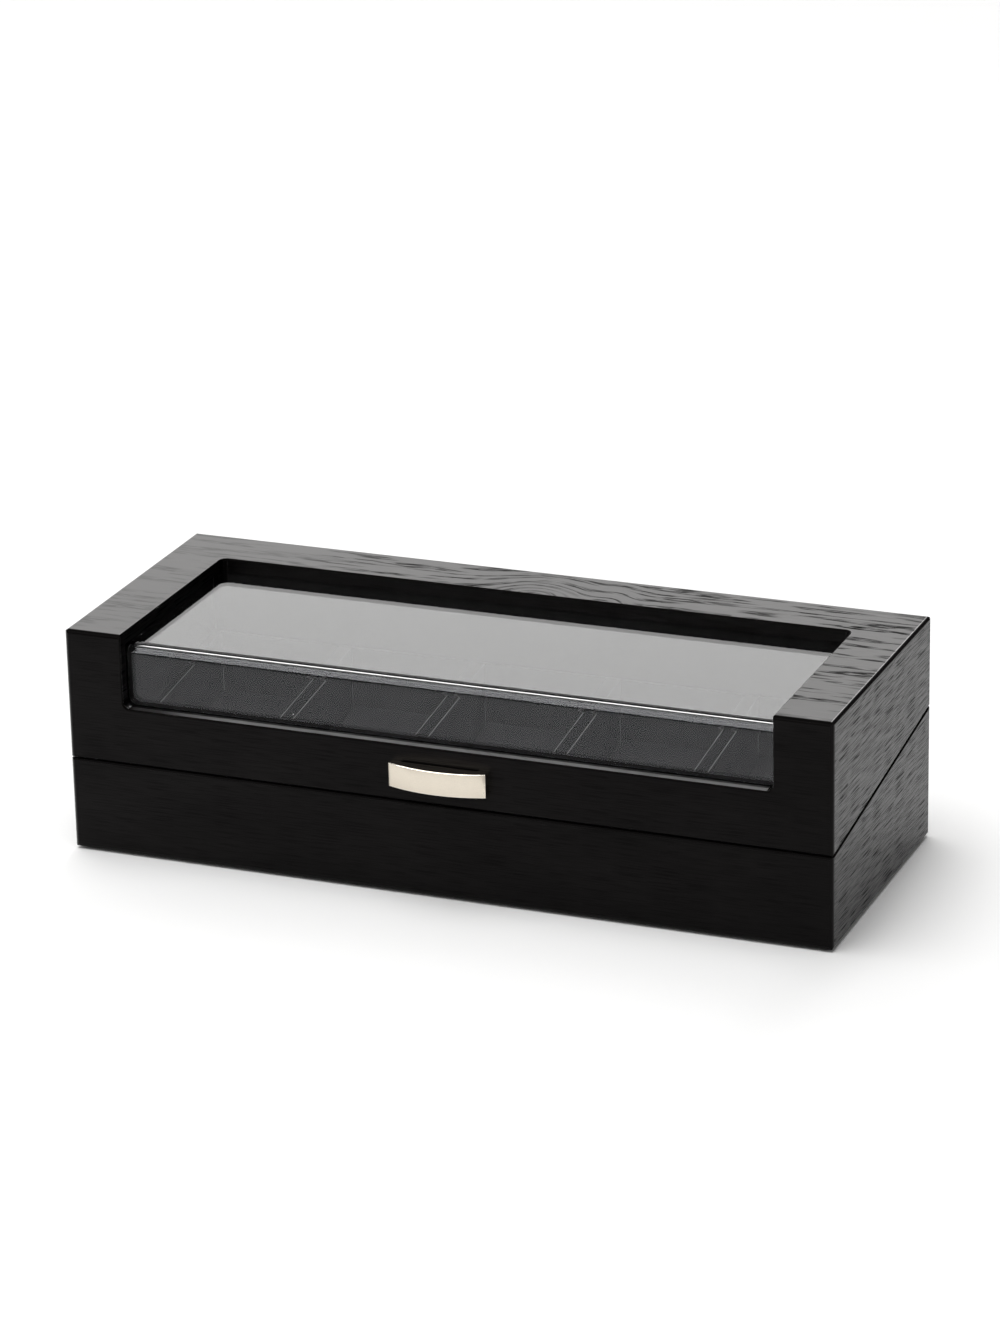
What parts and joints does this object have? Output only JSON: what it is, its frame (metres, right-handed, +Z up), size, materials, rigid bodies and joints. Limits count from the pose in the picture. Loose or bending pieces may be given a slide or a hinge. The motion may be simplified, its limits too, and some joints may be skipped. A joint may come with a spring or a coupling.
{
  "type": "eyewear display case",
  "caption": "Low wooden glasses case with a sloping split, a hinged lid with a bent clear window, a bowed pull and a padded tray of slots.",
  "frame": {"origin": "middle of the underside", "axes": "+X to the right along the case's length, +Y to the hinges at the rear, +Z up"},
  "size_m": [0.45, 0.1919, 0.132],
  "materials": {
    "black_veneer": "open-pored black stained veneer, satin lacquer",
    "raw_board": "bare plywood, out of sight",
    "felt": "black needle felt",
    "suede": "dark grey brown microsuede over board",
    "pad_suede": "dark grey brown microsuede over foam",
    "clear_silicone": "clear silicone",
    "hinge_steel": "brushed nickel-plated steel",
    "clear_acrylic": "clear polished sheet, line-bent",
    "champagne_metal": "satin champagne face with polished edges"
  },
  "bodies": {
    "base": {"base_front_board": "black_veneer", "base_rear_board": "black_veneer", "base_left_board": "black_veneer", "base_right_board": "black_veneer", "base_bottom_panel": "raw_board", "underside_felt": "felt", "tray_floor": "suede", "floor_bearer_left": "raw_board", "floor_bearer_centre": "raw_board", "floor_bearer_right": "raw_board", "base_liner_front": "suede", "base_liner_rear": "suede", "base_liner_left": "suede", "base_liner_right": "suede", "divider_1": "suede", "divider_2": "suede", "divider_3": "suede", "divider_4": "suede", "slot_pad_1": "pad_suede", "slot_pad_2": "pad_suede", "slot_pad_3": "pad_suede", "slot_pad_4": "pad_suede", "slot_pad_5": "pad_suede", "rim_bumpers": "clear_silicone", "base_hinge_screws": "hinge_steel", "left_hinge_base_leaf": "hinge_steel", "right_hinge_base_leaf": "hinge_steel", "left_hinge_pin": "hinge_steel", "right_hinge_pin": "hinge_steel"},
    "lid": {"lid_top_panel": "black_veneer", "lid_front_board": "black_veneer", "lid_rear_board": "black_veneer", "lid_left_board": "black_veneer", "lid_right_board": "black_veneer", "window_pane": "clear_acrylic", "lid_liner_front": "suede", "lid_liner_rear": "suede", "lid_liner_left": "suede", "lid_liner_right": "suede", "left_hinge_lid_leaf": "hinge_steel", "right_hinge_lid_leaf": "hinge_steel", "lid_hinge_screws": "hinge_steel", "pull_handle": "champagne_metal", "pull_screws": "hinge_steel"}
  },
  "joints": [
    {"name": "lid_hinge", "type": "hinge", "parent": "base", "child": "lid", "pos_m": [0, 0.08997, 0.0794], "axis": [-1, 0, 0], "range_deg": [0, 95]}
  ]
}
